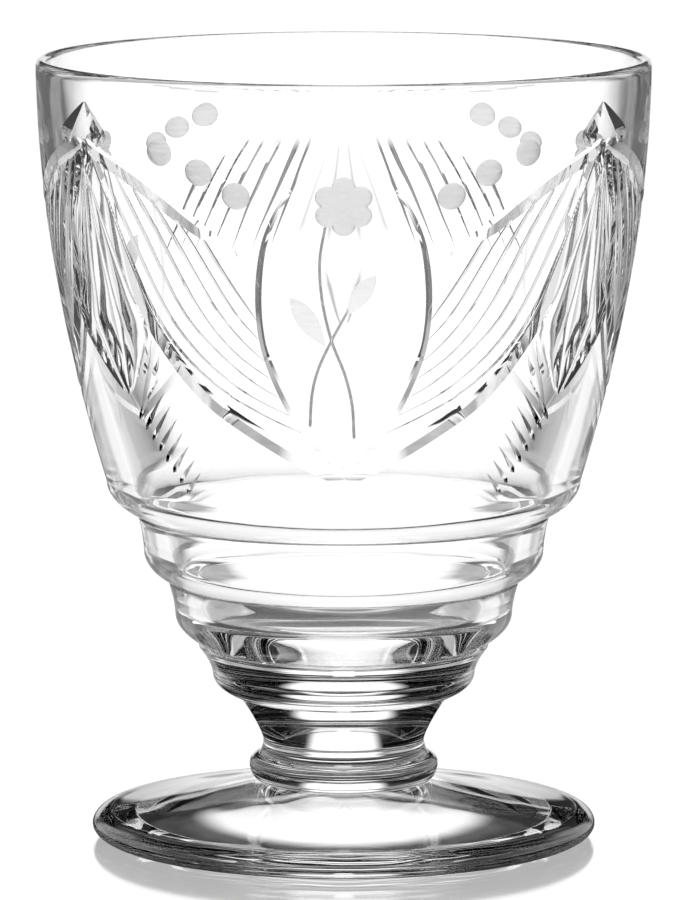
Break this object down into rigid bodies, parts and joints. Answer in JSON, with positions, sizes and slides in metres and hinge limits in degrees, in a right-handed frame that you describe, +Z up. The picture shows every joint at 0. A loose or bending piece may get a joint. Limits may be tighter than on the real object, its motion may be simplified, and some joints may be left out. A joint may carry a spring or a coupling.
{
  "type": "juice glass",
  "caption": "Footed juice glass of clear glass: flared bowl that steps in over rounded tiers to a short waisted stem, a bulged collar and a round foot.",
  "frame": {"origin": "on the glass's axis, in the plane that the foot rests on", "axes": "+Z up along the axis of the glass, -Y towards the side shown in the picture, +X to the right of that side"},
  "size_m": [0.075, 0.075, 0.096],
  "materials": {
    "bowl_glass": "clear polished glass with wheel-cut and frosted ornament",
    "stem_glass": "clear polished glass",
    "collar_glass": "clear polished glass",
    "foot_glass": "clear polished glass"
  },
  "bodies": {
    "root": {"bowl": "bowl_glass", "stem": "stem_glass", "collar": "collar_glass", "foot": "foot_glass"}
  },
  "joints": []
}
